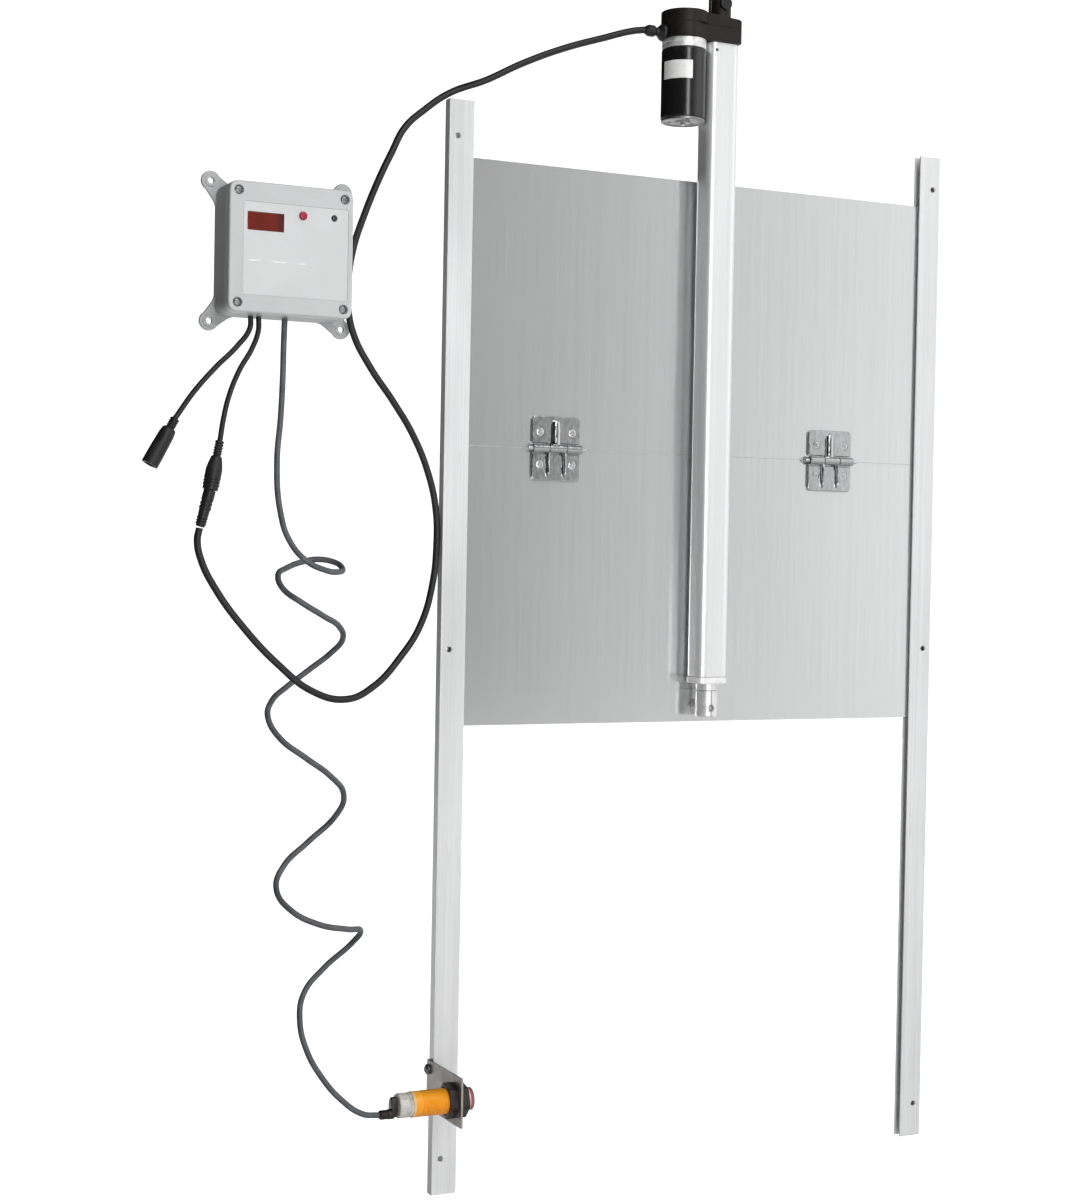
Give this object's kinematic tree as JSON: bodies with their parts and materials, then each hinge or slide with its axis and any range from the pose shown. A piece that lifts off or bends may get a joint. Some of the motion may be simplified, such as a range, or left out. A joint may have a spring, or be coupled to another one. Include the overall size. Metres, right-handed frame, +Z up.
{
  "type": "automatic coop door",
  "caption": "Automatic coop door: hinged sheet panel sliding between wall rails, raised by a linear actuator with motor, control box and beam sensor on cables.",
  "frame": {"origin": "on the wall plane, midway between the two rails, level with their lower ends", "axes": "+Z up along the rails, +Y into the wall, -Y out of the front, +X towards the right rail"},
  "size_m": [0.6292, 0.0615, 0.9057],
  "materials": {
    "rail_aluminium": "satin mill finish",
    "panel_aluminium": "vertical brushed grain",
    "hinge_chrome": "polished",
    "tube_aluminium": "satin anodised",
    "bright_steel": "polished",
    "steel": "plain bright",
    "bracket_steel": "plated sheet, brown-grey",
    "housing_plastic": "moulded, fine texture",
    "motor_paint": "gloss black",
    "magnet_ferrite": "matt",
    "box_plastic": "moulded light grey",
    "button_red": "gloss",
    "display_red": "tinted clear",
    "dark_plastic": "satin",
    "board_green": "satin",
    "cord_black": "satin",
    "cord_grey": "satin",
    "sensor_orange": "gloss",
    "sensor_lens": "tinted clear",
    "sensor_smoke": "smoked clear",
    "brass": "machined",
    "nylon": "moulded"
  },
  "bodies": {
    "frame": {"left_rail": "rail_aluminium", "right_rail": "rail_aluminium", "actuator_tube": "tube_aluminium", "tube_end_cap": "tube_aluminium", "gear_housing": "housing_plastic", "housing_cover": "housing_plastic", "rear_pin": "steel", "wall_bracket": "bracket_steel", "screw_bearing": "steel", "idler_pin": "steel", "motor_collar": "steel", "motor_can": "motor_paint", "motor_end_bell": "steel", "motor_magnets": "magnet_ferrite", "motor_cable_gland": "cord_black", "box_base": "box_plastic", "box_lid": "box_plastic", "display_window": "display_red", "display_module": "dark_plastic", "circuit_board": "board_green", "light_sensor": "dark_plastic", "lid_screw_1": "steel", "lid_screw_2": "steel", "lid_screw_3": "steel", "lid_screw_4": "steel", "sensor_bracket": "bracket_steel", "bracket_bolt": "steel", "sensor_body": "sensor_orange", "sensor_rear_cap": "sensor_smoke", "sensor_lens": "sensor_lens", "sensor_nut_rear": "housing_plastic", "sensor_nut_front": "housing_plastic", "sensor_cable_outlet": "cord_black", "motor_cable": "cord_black", "power_lead": "cord_black", "actuator_lead": "cord_black", "sensor_cable": "cord_grey", "power_jack": "cord_black", "actuator_socket": "cord_black", "motor_plug": "cord_black"},
    "door": {"lower_panel": "panel_aluminium", "left_hinge_lower_leaf": "hinge_chrome", "right_hinge_lower_leaf": "hinge_chrome", "left_hinge_pin": "steel", "right_hinge_pin": "steel", "rod": "bright_steel", "rod_end": "bright_steel", "drive_nut": "nylon", "pivot_bolt": "steel", "pivot_spacer": "steel"},
    "upper_door": {"upper_panel": "panel_aluminium", "left_hinge_upper_leaf": "hinge_chrome", "right_hinge_upper_leaf": "hinge_chrome"},
    "screw": {"lead_screw": "steel", "screw_gear": "nylon"},
    "idler": {"idler_gear": "nylon"},
    "motor_spindle": {"motor_rotor": "steel", "motor_pinion": "brass"},
    "button": {"push_button": "button_red"}
  },
  "joints": [
    {"name": "door_slide", "type": "slide", "parent": "frame", "child": "door", "axis": [0, 0, -1], "range_m": [0, 0.325]},
    {"name": "panel_fold", "type": "hinge", "parent": "door", "child": "upper_door", "pos_m": [0, -0.0086, 0.5235], "axis": [1, 0, 0], "range_deg": [-0.45, 0.45]},
    {"name": "screw_spin", "type": "hinge", "parent": "frame", "child": "screw", "pos_m": [0, -0.019, 0.4], "axis": [0, 0, 1], "range_deg": [0, 39010]},
    {"name": "idler_spin", "type": "hinge", "parent": "frame", "child": "idler", "pos_m": [-0.01724, -0.019, 0.8267], "axis": [0, 0, 1], "range_deg": [-42730, 0]},
    {"name": "motor_spin", "type": "hinge", "parent": "frame", "child": "motor_spindle", "pos_m": [-0.029, -0.019, 0.79], "axis": [0, 0, 1], "range_deg": [0, 99680]},
    {"name": "button_press", "type": "slide", "parent": "frame", "child": "button", "axis": [0, 1, 0], "range_m": [0, 0.001], "stiffness_N_per_m": 300, "springref_m": -0.001}
  ],
  "couplings": [
    {"joint": "screw_spin", "follows": "door_slide", "rad_per_m": 2094.4},
    {"joint": "idler_spin", "follows": "door_slide", "rad_per_m": -2293.9},
    {"joint": "motor_spin", "follows": "door_slide", "rad_per_m": 5352.3}
  ]
}
